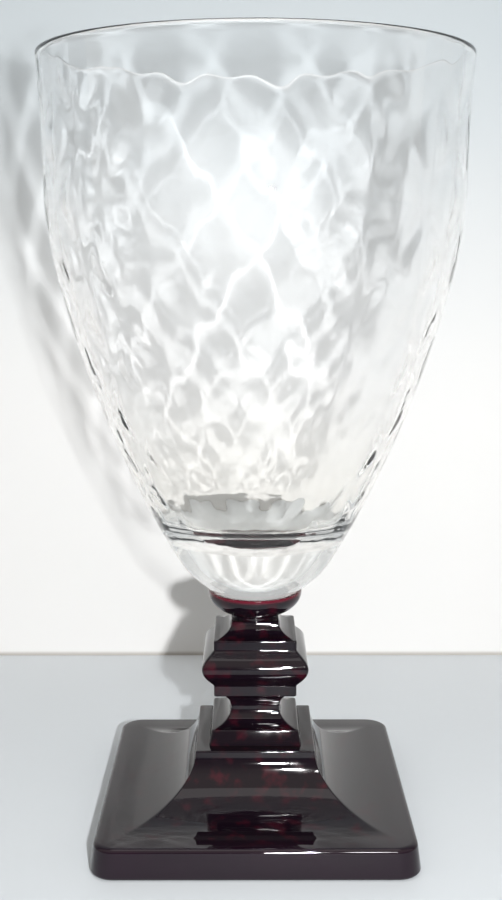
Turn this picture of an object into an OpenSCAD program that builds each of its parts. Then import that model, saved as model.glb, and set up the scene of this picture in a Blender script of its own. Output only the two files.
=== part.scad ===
// Square-footed water goblet: a clear blown bowl with a diamond optic inside, held by a round
// black glass button on a moulded square stem and a square coved foot.
// Millimetres, +Z up. The origin is the middle of the foot's underside.

/* [Foot] */
// Width of the square plate across its upper edge
plate_w = 64; // [52:1:80]
// Thickness of the plate at its edge
plate_t = 6.4; // [4.5:0.1:9]
// How far the underside stands out past the upper edge on each side
plate_draft = 0.6; // [0:0.1:1.4]
// Rounding of the plate's four corners, seen from above
plate_corner_r = 5; // [2:0.5:8]
// Rounding of the plate's upper and lower edges
plate_edge_r = 1; // [0.4:0.1:1.6]
// Flat margin between the plate's edge and the foot of the cove
plate_margin = 4.6; // [2:0.1:8]
// Height of the foot, from the table to the ledge that carries the stem
foot_h = 17.9; // [14:0.1:24]
// Width of the square ledge on top of the foot
ledge_w = 24.8; // [20:0.1:32]

/* [Stem] */
// Width of the lowest block at its bottom
sole_w = 19.4; // [16:0.1:20]
// Width of the lowest block at its top
sole_top_w = 18.2; // [15:0.1:19.4]
// Height of the lowest block
sole_h = 3.2; // [2:0.1:5]
// Width of the waist between the lowest block and the knop
waist_w = 10.2; // [8:0.1:13]
// Height of the cove below the waist
waist_lower_h = 3.4; // [2:0.1:5]
// Height of the cove above the waist
waist_upper_h = 3.8; // [2:0.1:5]
// Width of the two plain bands above and below the knop
band_w = 17.3; // [15:0.1:20]
// Height of the band below the knop
band_lower_h = 2.4; // [1:0.1:4]
// Height of the band above the knop
band_upper_h = 2.2; // [1:0.1:4]
// Width of the square knop at its widest
knop_w = 22.1; // [20:0.1:26]
// Height of the knop's rounded lower part
knop_lower_h = 4.2; // [2:0.1:6]
// Height of the knop's sloping upper part
knop_upper_h = 3.4; // [2:0.1:6]
// Width of the square neck under the button
neck_w = 9.9; // [9.4:0.1:12]
// Height of the cove under the neck
neck_h = 2.9; // [1.5:0.1:5]

/* [Button] */
// Radius of the round button at its rim
button_r = 9.9; // [9.6:0.1:11]
// Height of the button
button_h = 6; // [5:0.1:8]
// Radius of the button's round neck
button_neck_r = 4.7; // [4:0.1:4.7]
// Height of the button's straight neck
button_neck_h = 0.7; // [0.4:0.1:1.2]
// Height of the button's rim edge
button_edge_h = 0.6; // [0.3:0.1:1]

/* [Bowl] */
// Height of the bowl
bowl_h = 108.9; // [90:0.1:130]
// Radius of the bowl at its rim
rim_r = 42.9; // [38:0.1:48]
// Radius of the bowl at its widest below the rim
wide_r = 42; // [37:0.1:47]
// Radius of the flat seat under the bowl
seat_r = 9.2; // [8:0.1:9.5]
// Wall thickness at the rim
rim_wall = 1.5; // [1.2:0.1:2.2]
// Extra wall thickness near the bottom of the bowl
heel_wall = 1.7; // [0.8:0.1:2.4]
// Thickness of the solid glass under the floor of the bowl
floor_t = 9.6; // [7:0.1:13]
// Height over which the floor turns up into the wall
floor_turn_h = 6.5; // [4:0.1:9]

/* [Optic] */
// Number of diamonds round the inside of the bowl
diamond_count = 16; // [12:1:22]
// How far the ridges between the diamonds stand out from the wall at the rim's width
ridge_depth = 0.4; // [0.3:0.1:1]
// Lean of the ridges from the level, in degrees
ridge_lean = 53; // [42:1:65]
// Turn of the whole pattern about the bowl's axis, in degrees
optic_turn = 5; // [0:1:30]

/* [Hidden] */
black_glass = [0.09, 0.05, 0.09];
clear_glass = [0.86, 0.92, 0.95, 0.35];

// Heights of the joints, from the table up
stem_z = foot_h;
stem_h = sole_h + waist_lower_h + waist_upper_h + band_lower_h + knop_lower_h
    + knop_upper_h + band_upper_h + neck_h;
button_z = stem_z + stem_h;
bowl_z = button_z + button_h;

// Steps on a quarter curve of the mouldings, and sides of the round pieces
curve_steps = 8;
button_sides = 120;
quarter_turn = 90;
full_turn = 360;

// A quarter ellipse from p, where it runs level with the axis, to q, where it lies flat
function cove(p, q) = [for (i = [0:curve_steps])
    let (a = quarter_turn * i / curve_steps)
    [q.x - (q.x - p.x) * cos(a), p.y + (q.y - p.y) * sin(a)]];

// A quarter wave that leaves p at a slope and reaches q running level with the axis
function swell(p, q) = [for (i = [0:curve_steps])
    let (u = i / curve_steps)
    [p.x + (q.x - p.x) * sin(quarter_turn * u), p.y + (q.y - p.y) * u]];

function reversed(list) = [for (i = [len(list) - 1:-1:0]) list[i]];

// A solid of square section whose four sides all follow one half outline, mitred at the corners
module mitred(outline, reach) {
    mirrored = [for (p = reversed(outline)) [-p.x, p.y]];
    intersection() {
        rotate([quarter_turn, 0, 0])
            linear_extrude(height = reach, center = true) polygon(concat(outline, mirrored));
        rotate([quarter_turn, 0, quarter_turn])
            linear_extrude(height = reach, center = true) polygon(concat(outline, mirrored));
    }
}

// Foot: a square plate whose top sweeps up in a cove to the ledge under the stem
sole_reach = plate_w + 2 * plate_draft;
function edge_arc(centre, from) = [for (i = [0:curve_steps])
    let (a = from + quarter_turn * i / curve_steps)
    centre + plate_edge_r * [cos(a), sin(a)]];
foot_outline = concat(
    edge_arc([sole_reach / 2 - plate_edge_r, plate_edge_r], -quarter_turn),
    edge_arc([plate_w / 2 - plate_edge_r, plate_t - plate_edge_r], 0),
    reversed(cove([ledge_w / 2, foot_h], [plate_w / 2 - plate_margin, plate_t])));

module foot() {
    color(black_glass) intersection() {
        mitred(foot_outline, sole_reach);
        linear_extrude(height = foot_h) plate_plan();
    }
}

module plate_plan() {
    inset = sole_reach / 2 - plate_corner_r;
    union() {
        square([2 * inset, sole_reach], center = true);
        square([sole_reach, 2 * inset], center = true);
        for (x = [-inset, inset], y = [-inset, inset])
            translate([x, y]) circle(r = plate_corner_r, $fn = button_sides);
    }
}

// Stem: block, waist, band, knop, band and neck, all square, stacked from the ledge up
waist_z = sole_h + waist_lower_h;
band_z = waist_z + waist_upper_h;
knop_z = band_z + band_lower_h + knop_lower_h;
shoulder_z = knop_z + knop_upper_h;
stem_outline = concat(
    [[sole_w / 2, 0]],
    reversed(cove([waist_w / 2, waist_z], [sole_top_w / 2, sole_h])),
    cove([waist_w / 2, waist_z], [band_w / 2, band_z]),
    swell([band_w / 2, band_z + band_lower_h], [knop_w / 2, knop_z]),
    reversed(swell([band_w / 2, shoulder_z], [knop_w / 2, knop_z])),
    reversed(cove([neck_w / 2, stem_h], [band_w / 2, shoulder_z + band_upper_h])));

module stem() {
    color(black_glass) translate([0, 0, stem_z]) mitred(stem_outline, knop_w);
}

// Button: a round disc with a bowl-shaped underside on a short round neck
function button_side(from) = [for (i = [0:curve_steps])
    let (a = from * (curve_steps - i) / curve_steps)
    [button_r * cos(a), button_h - button_edge_h
        - (button_h - button_edge_h - button_neck_h) * sin(a) / sin(from)]];

module button() {
    color(black_glass) translate([0, 0, button_z]) rotate_extrude($fn = button_sides)
        polygon(concat([[0, 0], [button_neck_r, 0]], button_side(acos(button_neck_r / button_r)),
            [[button_r, button_h], [0, button_h]]));
}

// Bowl, outside: three smooth curves from the seat over the heel and the widest part to the rim.
// Directions are degrees from the level, and arms are the lengths of the curves' handles.
seat_slope = 38;
heel_slope = 59;
rim_slope = 86;
heel_r_share = 0.378;
heel_h_share = 0.064;
wide_h_share = 0.759;
seat_arm_share = 0.023;
heel_lower_arm_share = 0.037;
heel_upper_arm_share = 0.27;
wide_lower_arm_share = 0.147;
wide_upper_arm_share = 0.092;
rim_arm_share = 0.092;

function bezier(a, b, c, d, t) =
    let (s = 1 - t)
    s * s * s * a + 3 * s * s * t * b + 3 * s * t * t * c + t * t * t * d;
function arm(angle, share) = bowl_h * share * [cos(angle), sin(angle)];
function curve(a, arm_a, b, arm_b, steps) =
    [for (i = [1:steps]) bezier(a, a + arm_a, b - arm_b, b, i / steps)];

seat = [seat_r, 0];
heel = [rim_r * heel_r_share, bowl_h * heel_h_share];
wide = [wide_r, bowl_h * wide_h_share];
rim = [rim_r, bowl_h];
heel_steps = 4;
side_steps = 9;
lip_steps = 3;
bowl_outside = concat([seat],
    curve(seat, arm(seat_slope, seat_arm_share),
        heel, arm(heel_slope, heel_lower_arm_share), heel_steps),
    curve(heel, arm(heel_slope, heel_upper_arm_share),
        wide, arm(quarter_turn, wide_lower_arm_share), side_steps),
    curve(wide, arm(quarter_turn, wide_upper_arm_share),
        rim, arm(rim_slope, rim_arm_share), lip_steps));
radius_by_height = [for (p = bowl_outside) [p.y, p.x]];

// Bowl, inside: the wall thins towards the rim, and the floor closes as a flat ellipse
wall_foot = floor_t + floor_turn_h;
function squared(x) = x * x;
function wall_at(h) = rim_wall + heel_wall * squared(1 - h / bowl_h);
function turn_at(h) = h >= wall_foot ? 1
    : sqrt(max(0, 1 - squared((wall_foot - h) / floor_turn_h)));
function inside_at(h) = (lookup(h, radius_by_height) - wall_at(h)) * turn_at(h);

// Rows of the inside: a few round the turn of the floor, then each one rises by as much as a
// ridge needs to move on by half a column, so that the ridges run along the mesh
columns_per_diamond = 4;
columns = diamond_count * columns_per_diamond;
column_turn = full_turn / columns;
turn_rows = 3;
inside_top = bowl_h - rim_wall / 2;
function row_rise(h) = lookup(h, radius_by_height) * tan(ridge_lean) * PI / columns;
floor_heights = [for (i = [1:turn_rows])
    floor_t + floor_turn_h * (1 - cos(quarter_turn * i / (turn_rows + 1)))];
wall_heights = [for (h = wall_foot; h < inside_top - row_rise(h) / 2; h = h + row_rise(h)) h];
inside_heights = concat(floor_heights, wall_heights, [inside_top]);

// Two sets of ridges cross each other. They get shallower where the bowl is narrower, and fade
// out over the floor and just under the rim.
rim_fade_h_share = 0.07;
narrow_depth_share = 0.4;
function fade(h) = min(1, max(0, (h - floor_t) / floor_turn_h))
    * min(1, (bowl_h - h) / (bowl_h * rim_fade_h_share))
    * (narrow_depth_share + (1 - narrow_depth_share) * lookup(h, radius_by_height) / rim_r);
function valley(phase) = 1 - squared((1 + cos(phase)) / 2);
function ridge_at(row, k) =
    let (place = full_turn * (k + (row % 2) / 2) / columns_per_diamond,
        climb = full_turn * row / (2 * columns_per_diamond))
    ridge_depth * (1 - valley(place + climb) * valley(place - climb));

function ring(r, h) = [for (k = [0:columns - 1])
    [r * cos(column_turn * k), r * sin(column_turn * k), h]];
function ridged_ring(row) = [for (k = [0:columns - 1])
    let (h = inside_heights[row], a = column_turn * (k + (row % 2) / 2),
        r = inside_at(h) - fade(h) * ridge_at(row, k))
    [r * cos(a), r * sin(a), h]];

// The bowl is one skin: seat centre, outside rings up, rim, inside rings down, floor centre
rim_steps = 3;
rim_rings = [for (j = [1:rim_steps])
    let (a = full_turn / 2 * j / (rim_steps + 1))
    ring(rim_r - rim_wall / 2 * (1 - cos(a)), inside_top + rim_wall / 2 * sin(a))];
smooth_rings = concat([for (p = bowl_outside) ring(p.x, min(p.y, inside_top))], rim_rings);
ridged_rings = [for (row = [len(inside_heights) - 1:-1:0]) ridged_ring(row)];
skin_rings = concat(smooth_rings, ridged_rings);
skin_points = concat([[0, 0, 0]], [for (r = skin_rings) each r], [[0, 0, floor_t]]);
last = len(skin_rings) - 1;
function at(j, k) = 1 + j * columns + (k % columns);

// A ring that is turned by half a column carries its diagonals the other way
function turned(j) = j >= len(smooth_rings) && (last - j) % 2 == 1;
function band(j, k) = turned(j)
    ? [[at(j, k), at(j + 1, k + 1), at(j, k + 1)], [at(j, k), at(j + 1, k), at(j + 1, k + 1)]]
    : [[at(j, k), at(j + 1, k), at(j, k + 1)], [at(j, k + 1), at(j + 1, k), at(j + 1, k + 1)]];
skin_faces = concat(
    [for (k = [0:columns - 1]) [0, at(0, k), at(0, k + 1)]],
    [for (j = [0:last - 1], k = [0:columns - 1]) each band(j, k)],
    [for (k = [0:columns - 1]) [len(skin_points) - 1, at(last, k + 1), at(last, k)]]);

module bowl() {
    color(clear_glass) translate([0, 0, bowl_z]) rotate([0, 0, optic_turn])
        polyhedron(skin_points, skin_faces);
}

foot();
stem();
button();
bowl();
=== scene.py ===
# %% [markdown]
# # A square-footed water goblet
# The goblet has four pieces of glass: a black square foot, a black moulded stem, a round black
# button, and a clear blown bowl with a diamond optic inside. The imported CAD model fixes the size
# of each one. This lesson models a finer copy of each piece, gives it a finish, and lights it
# on a pale table in front of a pale wall. First the frame is loaded and its box is kept.

# %% Load the frame
import math

import bpy
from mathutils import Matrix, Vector, noise


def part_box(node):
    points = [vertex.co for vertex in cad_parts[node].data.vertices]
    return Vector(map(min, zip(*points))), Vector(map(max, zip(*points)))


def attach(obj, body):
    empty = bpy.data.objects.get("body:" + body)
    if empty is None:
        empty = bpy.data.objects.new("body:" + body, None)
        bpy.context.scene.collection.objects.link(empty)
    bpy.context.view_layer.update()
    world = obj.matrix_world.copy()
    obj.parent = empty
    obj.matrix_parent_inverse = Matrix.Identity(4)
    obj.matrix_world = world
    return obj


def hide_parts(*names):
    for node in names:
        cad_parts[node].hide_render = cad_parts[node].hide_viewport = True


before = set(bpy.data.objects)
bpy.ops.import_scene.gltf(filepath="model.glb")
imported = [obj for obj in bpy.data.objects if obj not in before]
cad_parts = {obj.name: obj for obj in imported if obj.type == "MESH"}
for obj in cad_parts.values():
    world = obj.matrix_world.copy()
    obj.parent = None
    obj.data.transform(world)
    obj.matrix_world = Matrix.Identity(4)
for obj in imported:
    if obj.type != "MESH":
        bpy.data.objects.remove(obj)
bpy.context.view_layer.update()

# %% [markdown]
# The drawing is in millimetres and Blender works in metres, so one number turns the one into
# the other. These are the goblet's own measures. The heights of the seams come from the frame.

# %% Measures
MM = 0.001
FOOT_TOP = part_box("foot")[1][2]
STEM_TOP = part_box("stem")[1][2]
BUTTON_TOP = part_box("button")[1][2]
RIM_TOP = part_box("bowl")[1][2]
BOWL_H = RIM_TOP - BUTTON_TOP
print("Seams in mm:", [round(z / MM, 1) for z in (FOOT_TOP, STEM_TOP, BUTTON_TOP, RIM_TOP)])

# %% [markdown]
# ## The camera
# The photograph was taken from very near, a little above the middle of the bowl and looking
# down. So the rim is seen from below and the foot from above. The camera's place, tilt and lens
# were worked out from the corners of the foot, the seams of the stem and the ends of the rim.

# %% Camera
camera_data = bpy.data.cameras.new("camera")
camera_data.sensor_width, camera_data.lens = 36, 48.04
camera_data.clip_start = 10 * MM
camera = bpy.data.objects.new("camera", camera_data)
bpy.context.collection.objects.link(camera)
camera.location = (-1.34 * MM, -246.5 * MM, 124.35 * MM)
camera.rotation_euler = (math.radians(90 - 10.37), 0, math.radians(-0.11))
bpy.context.scene.camera = camera
print("The camera stands", round(-camera.location.y / MM), "mm in front of the goblet's axis")

# %% [markdown]
# ## Small tools for modelling
# An operator acts on all that is selected, so each step begins by clearing the selection. In
# edit mode the tools act on the selected faces of the piece that is being made. These helpers
# hold the few moves that all four pieces share.

# %% Helpers for selection and edit mode
def clear_selection():
    if bpy.context.object and bpy.context.object.mode != "OBJECT":
        bpy.ops.object.mode_set(mode="OBJECT")
    bpy.ops.object.select_all(action="DESELECT")


def settle(piece, name):
    """Put the piece's place into its mesh, so that its object sits at the origin."""
    piece.name = piece.data.name = name
    bpy.ops.object.transform_apply(location=True, rotation=True, scale=True)
    return piece


def edit(piece, mode="FACE"):
    bpy.context.view_layer.objects.active = piece
    bpy.ops.object.mode_set(mode="EDIT")
    bpy.ops.mesh.select_mode(type=mode)


def finish_mesh(piece, angle):
    """Merge doubles, turn all faces outwards and shade smoothly below an angle."""
    edit(piece)
    bpy.ops.mesh.select_all(action="SELECT")
    bpy.ops.mesh.remove_doubles(threshold=0.001 * MM)
    bpy.ops.mesh.normals_make_consistent(inside=False)
    bpy.ops.object.mode_set(mode="OBJECT")
    bpy.ops.object.shade_smooth_by_angle(angle=math.radians(angle))
    print(piece.name, "has", len(piece.data.polygons), "faces")


# %% [markdown]
# ## Outlines
# The square pieces and the button follow half outlines of coves and swells, the hollow and full
# curves of a turned moulding. Pressed glass has no knife edges, because the mould and the flame
# soften them. So an outline is walked in short steps, each point is averaged with its
# neighbours within a small reach, and steps that stay straight are dropped again.

# %% Coves, swells and fire-polished outlines
CURVE_STEPS = 24
FULL_TURN = 2 * math.pi


def cove(p, q):
    """A quarter ellipse, upright at p and level at q."""
    turns = [math.pi / 2 * i / CURVE_STEPS for i in range(CURVE_STEPS + 1)]
    return [(q[0] - (q[0] - p[0]) * math.cos(a), p[1] + (q[1] - p[1]) * math.sin(a))
            for a in turns]


def swell(p, q):
    """A quarter wave that leaves p at a slope and is upright at q."""
    shares = [i / CURVE_STEPS for i in range(CURVE_STEPS + 1)]
    return [(p[0] + (q[0] - p[0]) * math.sin(math.pi / 2 * u), p[1] + (q[1] - p[1]) * u)
            for u in shares]


def walked(outline, step):
    """Points at even steps along the outline."""
    points = []
    for (r0, z0), (r1, z1) in zip(outline, outline[1:]):
        count = max(1, round(math.hypot(r1 - r0, z1 - z0) / step))
        points += [(r0 + (r1 - r0) * i / count, z0 + (z1 - z0) * i / count)
                   for i in range(count)]
    return points + [outline[-1]]


def polished(outline, reach, step=0.05 * MM, slack=0.004 * MM):
    """The outline with its corners melted over a reach, with few points where it is straight."""
    fine = walked(outline, step)
    span = round(reach / step)
    melted = []
    for i in range(len(fine)):
        near = min(span, i, len(fine) - 1 - i)
        group = fine[i - near:i + near + 1]
        melted.append(tuple(sum(axis) / len(group) for axis in zip(*group)))
    return thinned(melted, slack)


def thinned(points, slack):
    """Keep only the points that lie further than slack from the line past them."""
    if len(points) < 3:
        return points
    (r0, z0), (r1, z1) = points[0], points[-1]
    long = math.hypot(r1 - r0, z1 - z0) or 1
    offs = [abs((r - r0) * (z1 - z0) - (z - z0) * (r1 - r0)) / long for r, z in points]
    worst = max(range(len(points)), key=offs.__getitem__)
    if offs[worst] <= slack:
        return [points[0], points[-1]]
    return thinned(points[:worst + 1], slack)[:-1] + thinned(points[worst:], slack)


def raise_faces(outline):
    """Extrude the selected faces up the outline, scaling them about the axis at each step."""
    for (r0, z0), (r1, z1) in zip(outline, outline[1:]):
        bpy.ops.mesh.extrude_region_move(TRANSFORM_OT_translate={"value": (0, 0, z1 - z0)})
        if abs(r1 - r0) > 0:
            bpy.ops.transform.resize(value=(r1 / r0, r1 / r0, 1))


def rounded_square(name, half, z, corner):
    """A square face with rounded corners, open in edit mode and selected."""
    clear_selection()
    bpy.ops.mesh.primitive_plane_add(size=2 * half, location=(0, 0, z))
    piece = settle(bpy.context.object, name)
    edit(piece, "VERT")
    bpy.ops.mesh.select_all(action="SELECT")
    bpy.ops.mesh.bevel(offset=corner, offset_type="OFFSET", segments=8, affect="VERTICES")
    bpy.ops.mesh.select_mode(type="FACE")
    bpy.ops.mesh.select_all(action="SELECT")
    return piece


# %% [markdown]
# ## Materials
# Shader maths is easier to read as a formula than as a web of nodes. A small class wraps a
# node's output socket, and each operator adds the Math node that does it. One more method adds
# any other node: its settings first, then the values or links of its sockets.

# %% Shader maths as formulas
class Signal:
    """An output socket that can be added, multiplied and so on."""

    def __init__(self, paint, socket):
        self.paint, self.socket = paint, socket

    def __add__(self, other):
        return self.paint.maths("ADD", self, other)

    def __sub__(self, other):
        return self.paint.maths("SUBTRACT", self, other)

    def __rsub__(self, other):
        return self.paint.maths("SUBTRACT", other, self)

    def __mul__(self, other):
        return self.paint.maths("MULTIPLY", self, other)

    __radd__, __rmul__ = __add__, __mul__


class Paint:
    """One material and the nodes behind its shader."""

    def __init__(self, name):
        self.material = bpy.data.materials.new(name)
        self.material.use_nodes = True
        self.tree = self.material.node_tree
        self.shader = self.tree.nodes["Principled BSDF"]

    def node(self, kind, settings=None, output=0, **sockets):
        made = self.tree.nodes.new(kind)
        for key, value in (settings or {}).items():
            setattr(made, key, value)
        for key, value in sockets.items():
            self.feed(made.inputs[key.replace("_", " ")], value)
        return Signal(self, made.outputs[output])

    def feed(self, socket, value):
        if isinstance(value, Signal):
            self.tree.links.new(value.socket, socket)
        else:
            socket.default_value = value

    def maths(self, operation, first, second):
        made = self.tree.nodes.new("ShaderNodeMath")
        made.operation = operation
        self.feed(made.inputs[0], first)
        self.feed(made.inputs[1], second)
        return Signal(self, made.outputs[0])

    def larger(self, first, second):
        return self.maths("MAXIMUM", first, second)

    def size(self, value):
        return self.maths("ABSOLUTE", value, 0)

    def place(self):
        return self.node("ShaderNodeTexCoord", output="Object")

    def axis(self, number):
        """One coordinate of the place: 0 across, 1 along, 2 up."""
        split = self.node("ShaderNodeSeparateXYZ", Vector=self.place())
        return Signal(self, split.socket.node.outputs[number])

    def noise(self, scale, detail=3):
        return self.node("ShaderNodeTexNoise", Vector=self.place(), Scale=scale, Detail=detail)

    def between(self, value, low, high):
        """0 below low, 1 above high, and a soft rise in between."""
        return self.node("ShaderNodeMapRange", {"interpolation_type": "SMOOTHSTEP"},
                         Value=value, From_Min=low, From_Max=high)

    def mixed(self, share, first, second):
        made = self.tree.nodes.new("ShaderNodeMix")
        made.data_type = "RGBA"
        self.feed(made.inputs["Factor"], share)
        colours = [s for s in made.inputs if s.type == "RGBA"]
        self.feed(colours[0], first)
        self.feed(colours[1], second)
        return Signal(self, [s for s in made.outputs if s.type == "RGBA"][0])

    def mix_shader(self, share, second):
        """Show the second shader by a share, and what was shown until now by the rest."""
        surface = self.tree.nodes["Material Output"].inputs["Surface"]
        mix = self.node("ShaderNodeMixShader", Fac=share)
        self.tree.links.new(surface.links[0].from_socket, mix.socket.node.inputs[1])
        self.tree.links.new(second.socket, mix.socket.node.inputs[2])
        self.tree.links.new(mix.socket, surface)

    def set(self, **sockets):
        for key, value in sockets.items():
            self.feed(self.shader.inputs[key.replace("_", " ")], value)


# %% [markdown]
# The black glass is amethyst glass so dark that it looks black. It could be a clear material
# with a deep tint, but then every mirrored lamp would cost many bounces, so it is an opaque
# gloss. The light that comes through where the glass is thin is painted into its colour: a little
# purple at the plate's edge and garnet at the button's upper edge. Elsewhere small dim garnet
# patches are painted glints of that light. Its skin has faint waves from the mould and a few dull
# smears from handling.

# %% Black glass
BLACK, PURPLE = (0.003, 0.0015, 0.003, 1), (0.006, 0.0015, 0.005, 1)
GARNET, GLINT_SHARE = (0.06, 0.003, 0.009, 1), 0.3
BLACK_GLOSS, SMEAR_DULLNESS = 0.035, 0.06

black = Paint("black_amethyst_glass")
outward = black.larger(black.size(black.axis(0)), black.size(black.axis(1)))
# Where the glass is thin, the light that comes through is painted in: purple at the plate's edge,
# garnet at the button's edge.
thin_plate = black.between(outward, 24 * MM, 33 * MM)
button_edge = (black.between(black.axis(2), BUTTON_TOP - 1 * MM, BUTTON_TOP)
               * black.between(outward, 6 * MM, 7.5 * MM))
# Small dim garnet patches are painted glints of light coming through the glass.
garnet_glints = black.between(black.noise(320, 2), 0.5, 0.8) * (1 - thin_plate)
dark = black.mixed(thin_plate * black.noise(90), BLACK, PURPLE)
lit = black.mixed(black.larger(GLINT_SHARE * garnet_glints, button_edge), dark, GARNET)
smears = black.between(black.noise(160, 6), 0.45, 0.75)
waves = black.node("ShaderNodeBump", Height=black.noise(120, 1), Strength=0.12,
                   Distance=0.2 * MM)
black.set(Base_Color=lit, Roughness=BLACK_GLOSS + SMEAR_DULLNESS * smears, Normal=waves,
          IOR=1.43)
print("Black glass:", len(black.tree.nodes), "nodes")

# %% [markdown]
# The bowl is clear, colourless soda glass. Blown glass is never quite even. Its skin waves a
# little, and near the seat, where it touched the cold black glass, it has close chill marks.
# The bump carries both. A thin dull haze of washing lies on it here and there, and the thick
# glass low in the bowl is a trace warmer than the rest.

# %% Clear glass
CLEAR, HAZY, WARM = (1, 1, 1, 1), (0.985, 0.985, 0.985, 1), (1, 0.99, 0.965, 1)
HAZE_DULLNESS, CHILL_SHARE = 0.012, 0.5

clear = Paint("clear_blown_glass")
haze = clear.between(clear.noise(60, 5), 0.5, 0.8)
thick = 1 - clear.between(clear.axis(2), 62 * MM, 100 * MM)
chill = 1 - clear.between(clear.axis(2), BUTTON_TOP + 5 * MM, BUTTON_TOP + 9 * MM)
ripple = clear.node("ShaderNodeBump", Strength=0.05, Distance=0.3 * MM,
                    Height=clear.noise(45, 1) + CHILL_SHARE * chill * clear.noise(350, 1))
tint = clear.mixed(thick, clear.mixed(haze, CLEAR, HAZY), WARM)
clear.set(Base_Color=tint, Roughness=HAZE_DULLNESS * haze, Normal=ripple, IOR=1.51,
          Transmission_Weight=1)
print("Clear glass:", len(clear.tree.nodes), "nodes")

# %% [markdown]
# A path tracer finds it hard to send a lamp's light through curved glass, so a glass shadow
# comes out black. The usual cure lets the lamps' own rays pass. Here they pass as the real bowl
# lets them: gathered into bright lines by the ridges and dimmed in the cells between them. Near
# the outline, where the light meets the glass on end, some is lost in patches. Each ray meets
# four skins, so a skin without ridges must pass exactly one part of light. The ridges count only
# on the half nearer the lamp, whose lines are the ones seen on the wall. How much each place
# lets through comes from an attribute, lamp_light, that is painted on the bowl further down.

# %% Let lamps through the clear glass
GATHERED = 1.45
PLAIN_LIGHT = 1 / GATHERED
PATCH_LOSS, EDGE_LOSS = 0.13, 0.4

ridge_light = clear.node("ShaderNodeAttribute", {"attribute_name": "lamp_light"}, output="Fac")
from_behind = clear.node("ShaderNodeNewGeometry", output="Backfacing") * PLAIN_LIGHT
passing = clear.larger(ridge_light, from_behind)
on_end = clear.node("ShaderNodeLayerWeight", output="Facing", Blend=0.5)
patchy = clear.between(clear.noise(65), 0.4, 0.56)
lost = (PATCH_LOSS * patchy * clear.between(on_end, 0.3, 0.6)
        + EDGE_LOSS * clear.between(on_end, 0.85, 0.97))
lamp_ray = clear.node("ShaderNodeLightPath", output="Is Shadow Ray")
open_way = clear.node("ShaderNodeBsdfTransparent", Color=(GATHERED, GATHERED, GATHERED, 1))
clear.mix_shader(lamp_ray * passing * (1 - lost), open_way)
print("A plain skin passes", round(PLAIN_LIGHT, 3), "of", GATHERED)


# %% [markdown]
# ## The foot
# The real foot is pressed in a square mould: a flat plate whose top sweeps up in a cove to the
# ledge under the stem, with a soft ridge running down to each corner. It could be two crossed
# extrusions, as in the drawing. Here a rounded square is raised up the outline step by step.
# The flat margin is an inset, which also tightens the corners from the plate's wide rounding to
# the narrow ridges of the cove.

# %% Foot
PLATE_HALF, PLATE_T, PLATE_DRAFT, PLATE_EDGE = 32 * MM, 6.4 * MM, 0.6 * MM, 1 * MM
PLATE_MARGIN, LEDGE_HALF = 4.6 * MM, 12.4 * MM
PLATE_CORNER = 5.3 * MM
ARRIS, PRESSED_SMOOTH = 0.3 * MM, 35
low_half = PLATE_HALF + PLATE_DRAFT
top_half = PLATE_HALF - PLATE_MARGIN
EDGE_STEPS = 8
edge_turns = [math.pi / 2 * i / EDGE_STEPS for i in range(EDGE_STEPS + 1)]
plate_side = (
    [(low_half - PLATE_EDGE * (1 - math.sin(a)), PLATE_EDGE * (1 - math.cos(a)))
     for a in edge_turns]
    + [(PLATE_HALF - PLATE_EDGE * (1 - math.cos(a)), PLATE_T - PLATE_EDGE * (1 - math.sin(a)))
       for a in edge_turns])
foot = rounded_square("foot_plate", low_half - PLATE_EDGE, 0, PLATE_CORNER - PLATE_EDGE)
raise_faces(plate_side)
bpy.ops.mesh.inset(thickness=PLATE_MARGIN - PLATE_EDGE, use_even_offset=True)
foot_sweep = cove((LEDGE_HALF, FOOT_TOP), (top_half, PLATE_T))[::-1]
raise_faces(polished(foot_sweep + [(LEDGE_HALF - 2 * MM, FOOT_TOP)], ARRIS))
finish_mesh(foot, PRESSED_SMOOTH)

# %% [markdown]
# ## The stem
# The stem is one square baluster: a low block, a waist, a band, the wide knop, another band and
# a neck under the button. All its sides follow one outline, so it is raised in one go.

# %% Stem
SOLE_HALF, SOLE_TOP_HALF, SOLE_H = 9.7 * MM, 9.1 * MM, 3.2 * MM
WAIST_HALF, WAIST_LOWER_H, WAIST_UPPER_H = 5.1 * MM, 3.4 * MM, 3.8 * MM
BAND_HALF, BAND_LOWER_H, BAND_UPPER_H = 8.65 * MM, 2.4 * MM, 2.2 * MM
KNOP_HALF, KNOP_LOWER_H, KNOP_UPPER_H = 11.05 * MM, 4.2 * MM, 3.4 * MM
NECK_HALF = 4.95 * MM
waist_z = FOOT_TOP + SOLE_H + WAIST_LOWER_H
band_z = waist_z + WAIST_UPPER_H
knop_z = band_z + BAND_LOWER_H + KNOP_LOWER_H
shoulder_z = knop_z + KNOP_UPPER_H
stem_side = (
    [(SOLE_HALF, FOOT_TOP)]
    + cove((WAIST_HALF, waist_z), (SOLE_TOP_HALF, FOOT_TOP + SOLE_H))[::-1]
    + cove((WAIST_HALF, waist_z), (BAND_HALF, band_z))[1:]
    + swell((BAND_HALF, band_z + BAND_LOWER_H), (KNOP_HALF, knop_z))
    + swell((BAND_HALF, shoulder_z), (KNOP_HALF, knop_z))[::-1][1:]
    + cove((NECK_HALF, STEM_TOP), (BAND_HALF, shoulder_z + BAND_UPPER_H))[::-1])
stem = rounded_square("stem_baluster", SOLE_HALF, FOOT_TOP, 0.7 * MM)
raise_faces(polished(stem_side, ARRIS))
finish_mesh(stem, PRESSED_SMOOTH)

# %% [markdown]
# ## The button
# The button is the only round black piece: a thick disc with a bowl-shaped underside on a short
# neck. It is raised from a circle. Its top is let into the bowl by a hair, because the two were
# joined hot, and no air lies between them to mirror the light.

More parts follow.
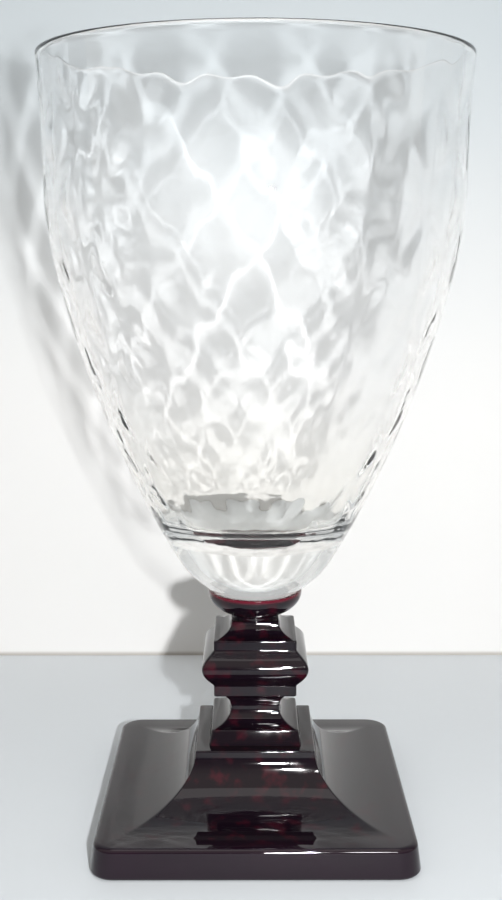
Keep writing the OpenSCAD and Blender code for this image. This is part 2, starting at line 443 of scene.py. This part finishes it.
# %% Button
BUTTON_R, BUTTON_NECK_R = 9.9 * MM, 4.7 * MM
BUTTON_NECK_H, BUTTON_EDGE_H = 0.7 * MM, 0.6 * MM
FUSED, BUTTON_ARRIS = 0.04 * MM, 0.21 * MM
ROUND_SIDES = 160
belly_h = BUTTON_TOP - STEM_TOP - BUTTON_EDGE_H - BUTTON_NECK_H
belly_turn = math.acos(BUTTON_NECK_R / BUTTON_R)
belly = [(BUTTON_R * math.cos(a), BUTTON_TOP - BUTTON_EDGE_H
          - belly_h * math.sin(a) / math.sin(belly_turn))
         for a in (belly_turn * (1 - i / CURVE_STEPS) for i in range(CURVE_STEPS + 1))]
button_side = ([(BUTTON_NECK_R, STEM_TOP)] + belly
               + [(BUTTON_R, BUTTON_TOP + FUSED), (BUTTON_R - 1 * MM, BUTTON_TOP + FUSED)])
clear_selection()
bpy.ops.mesh.primitive_circle_add(vertices=ROUND_SIDES, radius=BUTTON_NECK_R,
                                  fill_type="NGON", location=(0, 0, STEM_TOP))
button = settle(bpy.context.object, "button_disc")
edit(button)
bpy.ops.mesh.select_all(action="SELECT")
raise_faces(polished(button_side, BUTTON_ARRIS))
finish_mesh(button, PRESSED_SMOOTH)

# %% [markdown]
# ## The bowl
# A gather of clear glass is blown into a ribbed mould, twisted one way and then pressed into
# the next, which leaves a net of ridges. Then it is blown out smooth on the outside, so the net
# stays inside. Its bottom is thick and solid, and the black button shows through it. Its half
# section is drawn once and spun round the axis: out from the seat, up the outside, over the
# fire-polished rim, down the inside and across the floor.

# %% Half section of the bowl
RIM_R, WIDE_R, SEAT_R = 42.9 * MM, 42 * MM, 9.2 * MM
RIM_WALL, HEEL_WALL = 1.5 * MM, 1.7 * MM
FLOOR_T, FLOOR_TURN_H = 12.5 * MM, 5.5 * MM
DIAMONDS, RIDGE_LEAN = 16, math.radians(53)


def bezier(a, arm_a, b, arm_b, steps):
    """Points after a on the curve that leaves a by one handle and reaches b by the other."""
    c, d = a + arm_a, b - arm_b
    made = []
    for i in range(1, steps + 1):
        t = i / steps
        s = 1 - t
        made.append(a * s ** 3 + c * 3 * s * s * t + d * 3 * s * t * t + b * t ** 3)
    return made


def arm(angle, share):
    return Vector((math.cos(math.radians(angle)), math.sin(math.radians(angle)))) * share * BOWL_H


seat, rim = Vector((SEAT_R, 0)), Vector((RIM_R, BOWL_H))
heel = Vector((RIM_R * 0.378, BOWL_H * 0.064))
wide = Vector((WIDE_R, BOWL_H * 0.759))
outside = ([seat] + bezier(seat, arm(38, 0.023), heel, arm(59, 0.037), 10)
           + bezier(heel, arm(59, 0.27), wide, arm(90, 0.147), 36)
           + bezier(wide, arm(90, 0.092), rim, arm(86, 0.092), 12))


def outer_radius(h):
    for low, high in zip(outside, outside[1:]):
        if h <= high.y:
            return low.x + (high.x - low.x) * (h - low.y) / (high.y - low.y)
    return outside[-1].x


def inner_radius(h):
    wall = RIM_WALL + HEEL_WALL * (1 - h / BOWL_H) ** 2
    turn = min(1, max(0, (h - FLOOR_T) / FLOOR_TURN_H))
    return (outer_radius(h) - wall) * math.sqrt(1 - (1 - turn) ** 2)


inside_top = BOWL_H - RIM_WALL / 2
wall_foot = FLOOR_T + FLOOR_TURN_H
ROW_STEP, TURN_ROWS, RIM_ROWS = 0.022, 14, 12
inside_heights = [FLOOR_T + FLOOR_TURN_H * (1 - math.cos(math.pi / 2 * i / TURN_ROWS))
                  for i in range(1, TURN_ROWS)]
h = wall_foot
while h < inside_top - outer_radius(h) * ROW_STEP / 2:
    inside_heights.append(h)
    h += outer_radius(h) * ROW_STEP
inside_heights.append(inside_top)
lip_turns = [math.pi * i / (RIM_ROWS + 1) for i in range(1, RIM_ROWS + 1)]
lip = [(RIM_R - RIM_WALL / 2 * (1 - math.cos(a)), inside_top + RIM_WALL / 2 * math.sin(a))
       for a in lip_turns]
section = ([(0, 0)] + [(p.x, p.y) for p in outside if p.y < inside_top]
           + [(outer_radius(inside_top), inside_top)] + lip
           + [(inner_radius(z), z) for z in reversed(inside_heights)] + [(0, FLOOR_T)])
print("The bowl's section has", len(section), "points")

# %% [markdown]
# The section is drawn by extruding one vertex along its points, and spun in one step.

# %% Spin the bowl
COLUMNS_A_DIAMOND, BLOWN_SMOOTH = 18, 60
clear_selection()
bpy.ops.mesh.primitive_plane_add(size=1 * MM, location=(0, 0, BUTTON_TOP))
bowl = settle(bpy.context.object, "bowl_glass")
edit(bowl, "VERT")
bpy.ops.mesh.select_all(action="SELECT")
bpy.ops.mesh.merge(type="CENTER")
for (r0, z0), (r1, z1) in zip(section, section[1:]):
    bpy.ops.mesh.extrude_vertices_move(TRANSFORM_OT_translate={"value": (r1 - r0, 0, z1 - z0)})
bpy.ops.mesh.select_all(action="SELECT")
bpy.ops.mesh.spin(steps=DIAMONDS * COLUMNS_A_DIAMOND, angle=FULL_TURN, center=(0, 0, 0), axis=(0, 0, 1))
finish_mesh(bowl, BLOWN_SMOOTH)

# %% [markdown]
# Two families of ridges climb the inside of the wall, one to the left and one to the right. A
# ridge leans evenly, so it turns by less and less round the wide part of the bowl, and the climb
# is added up along the way. The net wanders a little, as blown ridges do.

# %% Diamond optic
OPTIC_TURN, FIRST_CLIMB = math.radians(5), math.radians(8.4)
UNEVEN, WANDER = 0.05, 15 * MM
STEPS_UP = 400
climb_table = [FIRST_CLIMB]
for i in range(1, STEPS_UP + 1):
    z = BOWL_H * i / STEPS_UP
    climb_table.append(climb_table[-1] + BOWL_H / STEPS_UP
                       / (outer_radius(z) * math.tan(RIDGE_LEAN)) * (z > wall_foot))


def climb(z):
    return climb_table[min(STEPS_UP, max(0, round(z / BOWL_H * STEPS_UP)))]


def net(x, y, z, sharpness):
    """1 on the ridges that pass here and 0 between them. A sharper net has thinner lines."""
    a = math.atan2(y, x) - OPTIC_TURN + UNEVEN * noise.noise(Vector((x, y, z)) / WANDER)
    left = ((1 + math.cos(DIAMONDS * (a + climb(z)))) / 2) ** sharpness
    right = ((1 + math.cos(DIAMONDS * (a - climb(z)))) / 2) ** sharpness
    return 1 - (1 - left) * (1 - right)


print("A ridge turns by", round(math.degrees(climb(BOWL_H))), "degrees on its way up")

# %% [markdown]
# The net goes on the bowl twice. As weights in a vertex group, as in weight painting, it tells a
# Displace modifier where to push the skin out. As the attribute lamp_light, with thinner lines,
# it tells the glass where the lamps' light passes. The ridges fade out under the rim and over
# the floor, and are shallower where the bowl is narrow. High in the middle of the front the
# whole bowl gathers light as a lens does, so the cells are nearly as bright as the lines there.

# %% Paint the net on the inside
RIM_FADE, NARROW_SHARE = 0.07, 0.4
SOFT_RIDGE, LINE_SHARP = 2, 12
CELL_LIGHT, MIDDLE_LIGHT = 0.38, 0.95
MIDDLE_X, MIDDLE_Z, MIDDLE_SPREAD = 9 * MM, 80 * MM, 15 * MM


def depth_share(z):
    fade = min(1, max(0, (z - FLOOR_T) / FLOOR_TURN_H), (BOWL_H - z) / (BOWL_H * RIM_FADE))
    return fade * (NARROW_SHARE + (1 - NARROW_SHARE) * outer_radius(z) / RIM_R)


def cell_light(x, y, z):
    from_middle = math.hypot(x - MIDDLE_X, z - MIDDLE_Z) / MIDDLE_SPREAD
    return CELL_LIGHT + (MIDDLE_LIGHT - CELL_LIGHT) * math.exp(-from_middle ** 2) * (y < 0)


optic = bowl.vertex_groups.new(name="optic")
lamp_light = [PLAIN_LIGHT] * len(bowl.data.vertices)
for vertex in bowl.data.vertices:
    x, y, z = vertex.co.x, vertex.co.y, vertex.co.z - BUTTON_TOP
    is_inside = math.hypot(x, y) < (inner_radius(z) + outer_radius(z)) / 2
    if FLOOR_T < z < inside_top and is_inside:
        optic.add([vertex.index], depth_share(z) * net(x, y, z, SOFT_RIDGE), "REPLACE")
        cell = cell_light(x, y, z)
        ridged = cell + (1 - cell) * net(x, y, z, LINE_SHARP)
        lamp_light[vertex.index] += depth_share(z) * (ridged - PLAIN_LIGHT)
bowl.data.attributes.new("lamp_light", "FLOAT", "POINT").data.foreach_set("value", lamp_light)
print("lamp_light goes from", round(min(lamp_light), 2), "to", round(max(lamp_light), 2))

# %% [markdown]
# Each place of the skin is moved along its own normal, so the ridges stand out evenly all round.

# %% Push the ridges out
RIDGE_DEPTH = 0.2 * MM
clear_selection()
bowl.select_set(True)
bpy.context.view_layer.objects.active = bowl
push = bowl.modifiers.new("optic", "DISPLACE")
push.vertex_group, push.strength, push.mid_level = optic.name, RIDGE_DEPTH, 0
bpy.ops.object.modifier_apply(modifier=push.name)

# %% [markdown]
# ## Finishes and places
# Each piece takes its glass, hides the CAD node that it stands for and rides on the goblet's
# one body, since nothing on a goblet moves.

# %% Dress the pieces
for piece, node, slot, paint in ((foot, "foot", "black_glass", black),
                                 (stem, "stem", "black_glass", black),
                                 (button, "button", "black_glass", black),
                                 (bowl, "bowl", "clear_glass", clear)):
    piece.data.materials.clear()
    piece.data.materials.append(paint.material)
    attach(piece, "root")
    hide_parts(node)

# %% [markdown]
# ## Table and wall
# The goblet stands on a pale table, close in front of a pale wall. Both carry painted shade: the
# wall is painted bluer and darker towards the top, and the table darker in front, where the flash
# is nearer. Two tricks keep the stage plain from all sides. Far from the goblet both planes pass
# into one pale backdrop, which only the camera and rays through glass see, so it sends no light.
# And the wall's back is clear, so that it doesn't hide the goblet from behind.

# %% Tools for the stage
BACKDROP = (0.62, 0.64, 0.65, 1)
FADE_FROM, FADE_TO = 215 * MM, 340 * MM
STAGE_SIZE, MATT = 4, 0.7


def seen(paint):
    """1 for what is seen straight or through glass, and 0 for what only sends light."""
    return paint.larger(paint.node("ShaderNodeLightPath", output="Is Camera Ray"),
                        paint.node("ShaderNodeLightPath", output="Is Transmission Ray"))


def shaded(paint, axis, low, high, colour, far_colour):
    """A colour that changes from low to high along one axis, not quite evenly; here it paints shade on
    the table and the wall.
    """
    place = paint.axis(axis) + 30 * MM * paint.noise(8, 4)
    return paint.mixed(paint.between(place, low, high), colour, far_colour)


def fade_out(paint):
    """Far from the goblet the plane passes into the plain backdrop, without a horizon."""
    sideways = paint.larger(paint.size(paint.axis(0)), paint.size(paint.axis(1)))
    away = paint.between(paint.larger(sideways, paint.axis(2)), FADE_FROM, FADE_TO)
    paint.mix_shader(seen(paint) * away, paint.node("ShaderNodeEmission", Color=BACKDROP))


def stage_plane(name, location, turn, paint):
    clear_selection()
    bpy.ops.mesh.primitive_plane_add(size=STAGE_SIZE, location=location, rotation=turn)
    plane = settle(bpy.context.object, name)
    plane.data.materials.append(paint.material)
    print("The", name, "is", STAGE_SIZE, "metres wide")

# %% [markdown]
# The planes are painted and placed. A thin darker line of painted shade lies in the corner where
# the wall meets the table.

# %% Table and wall
TABLE_FRONT_SHADE, TABLE_BACK = (0.1, 0.13, 0.14, 1), (0.6, 0.635, 0.665, 1)
WALL_LOW, WALL_TOP_SHADE = (0.765, 0.765, 0.76, 1), (0.52, 0.57, 0.6, 1)
CORNER_SHADE = (0.45, 0.43, 0.4, 1)
WALL_Y, WALL_MIDDLE = 94 * MM, 1.9

table_paint = Paint("table_paint")
# The table's colour is painted darker towards the front: painted shade.
table_colour_and_shade = shaded(table_paint, 1, -250 * MM, 40 * MM, TABLE_FRONT_SHADE, TABLE_BACK)
table_paint.set(Base_Color=table_colour_and_shade, Roughness=MATT)
fade_out(table_paint)
stage_plane("table", (0, 0, 0), (0, 0, 0), table_paint)

wall_paint = Paint("wall_paint")
# The wall's colour is painted bluer and darker towards the top: painted shade.
wall_colour_and_shade = shaded(wall_paint, 2, 80 * MM, 200 * MM, WALL_LOW, WALL_TOP_SHADE)
# A thin line of painted shade in the corner where the wall meets the table.
corner_shade = 1 - wall_paint.between(wall_paint.axis(2), 0.2 * MM, 1.6 * MM)
wall_paint.set(Base_Color=wall_paint.mixed(corner_shade, wall_colour_and_shade, CORNER_SHADE), Roughness=MATT)
fade_out(wall_paint)
wall_paint.mix_shader(wall_paint.node("ShaderNodeNewGeometry", output="Backfacing"),
                      wall_paint.node("ShaderNodeBsdfTransparent"))
stage_plane("wall", (0, WALL_Y, WALL_MIDDLE), (math.pi / 2, 0, 0), wall_paint)

# %% [markdown]
# ## Light
# The photo was taken with a small flash to the right of the lens: it throws the bowl's shadow,
# full of bright lines, on the wall to the left. Two more lamps make the bright streaks in the
# gloss of the black glass. They would add spots to the clear glass and light to the table, so
# light linking lets them reach the black pieces only. A wide soft lamp overhead lights the
# table. The camera sees none of the lamps, straight or through glass.

# %% Lights
black_pieces = bpy.data.collections.new("black_pieces")
for piece in (foot, stem, button):
    black_pieces.objects.link(piece)


def soft_light(name, location, size, power, target, width=1, for_black=False):
    """A soft round lamp, given in metres and watts. Width stretches it sideways."""
    lamp = bpy.data.lights.new(name, "AREA")
    lamp.shape, lamp.energy = "ELLIPSE", power
    lamp.size, lamp.size_y = size * width, size
    lamp_object = bpy.data.objects.new(name, lamp)
    bpy.context.collection.objects.link(lamp_object)
    lamp_object.location = location
    aim = Vector(target) - Vector(location)
    lamp_object.rotation_euler = aim.to_track_quat("-Z", "Y").to_euler()
    lamp_object.visible_camera = lamp_object.visible_transmission = False
    if for_black:
        lamp_object.light_linking.receiver_collection = black_pieces
    print(name, "shines with", power, "W from", round(aim.length, 2), "m")


soft_light("flash", (0.03, -0.25, 0.125), 0.008, 1.08, (0, 0.05, 0.1))
soft_light("key", (0.13, -0.59, 0.33), 0.06, 0.9, (0, 0.05, 0.1), for_black=True)
soft_light("front", (0.015, -0.25, 0.055), 0.01, 0.7, (0, 0.05, 0.11), width=2,
           for_black=True)
soft_light("overhead", (0, -0.1, 0.7), 0.5, 0.6, (0, 0, 0))

# %% [markdown]
# The room round the stage is warmer than the flash, so it colours the shadows. It is darkest
# level with the camera and behind it, and black glass shows that in its front faces.

# %% World
ROOM, NO_LIGHT = (1, 0.935, 0.86, 1), (0, 0, 0, 1)
ROOM_LEAST, ROOM_MORE = 0.2, 0.5


class Room(Paint):
    """The world round the stage, painted by the same formulas as a material."""

    def __init__(self, name):
        self.world = bpy.data.worlds.new(name)
        self.world.use_nodes = True
        self.tree = self.world.node_tree
        self.shader = self.tree.nodes["Background"]

    def place(self):
        return self.node("ShaderNodeTexCoord", output="Generated")


room = Room("room")
past_wall = room.between(room.axis(1), -0.9, 0.1)
above = room.between(room.axis(2), 0.1, 0.7)
brightness = ROOM_LEAST + ROOM_MORE * room.larger(past_wall, above)
room.set(Color=room.mixed(seen(room), room.mixed(brightness, NO_LIGHT, ROOM), BACKDROP))
bpy.context.scene.world = room.world
print("The room's light goes from", ROOM_LEAST, "to", ROOM_LEAST + ROOM_MORE)

# %% [markdown]
# Light that enters the wall of the bowl at its edge is mirrored to and fro inside it many times
# before it gets out. With too few bounces it would end there, and leave black spots. The light
# that bounces find through glass is switched off, because the lamps' own rays carry it here.

# %% Bounces
cycles = bpy.context.scene.cycles
cycles.max_bounces, cycles.glossy_bounces, cycles.transmission_bounces = 24, 20, 24
cycles.caustics_refractive = cycles.caustics_reflective = False
print("A ray bounces at most", cycles.max_bounces, "times")

# %% [markdown]
# ## Last lines
# The render keeps the Standard view transform, so that colours come out as they are written.

# %% Finish
bpy.context.scene.view_settings.view_transform = "Standard"
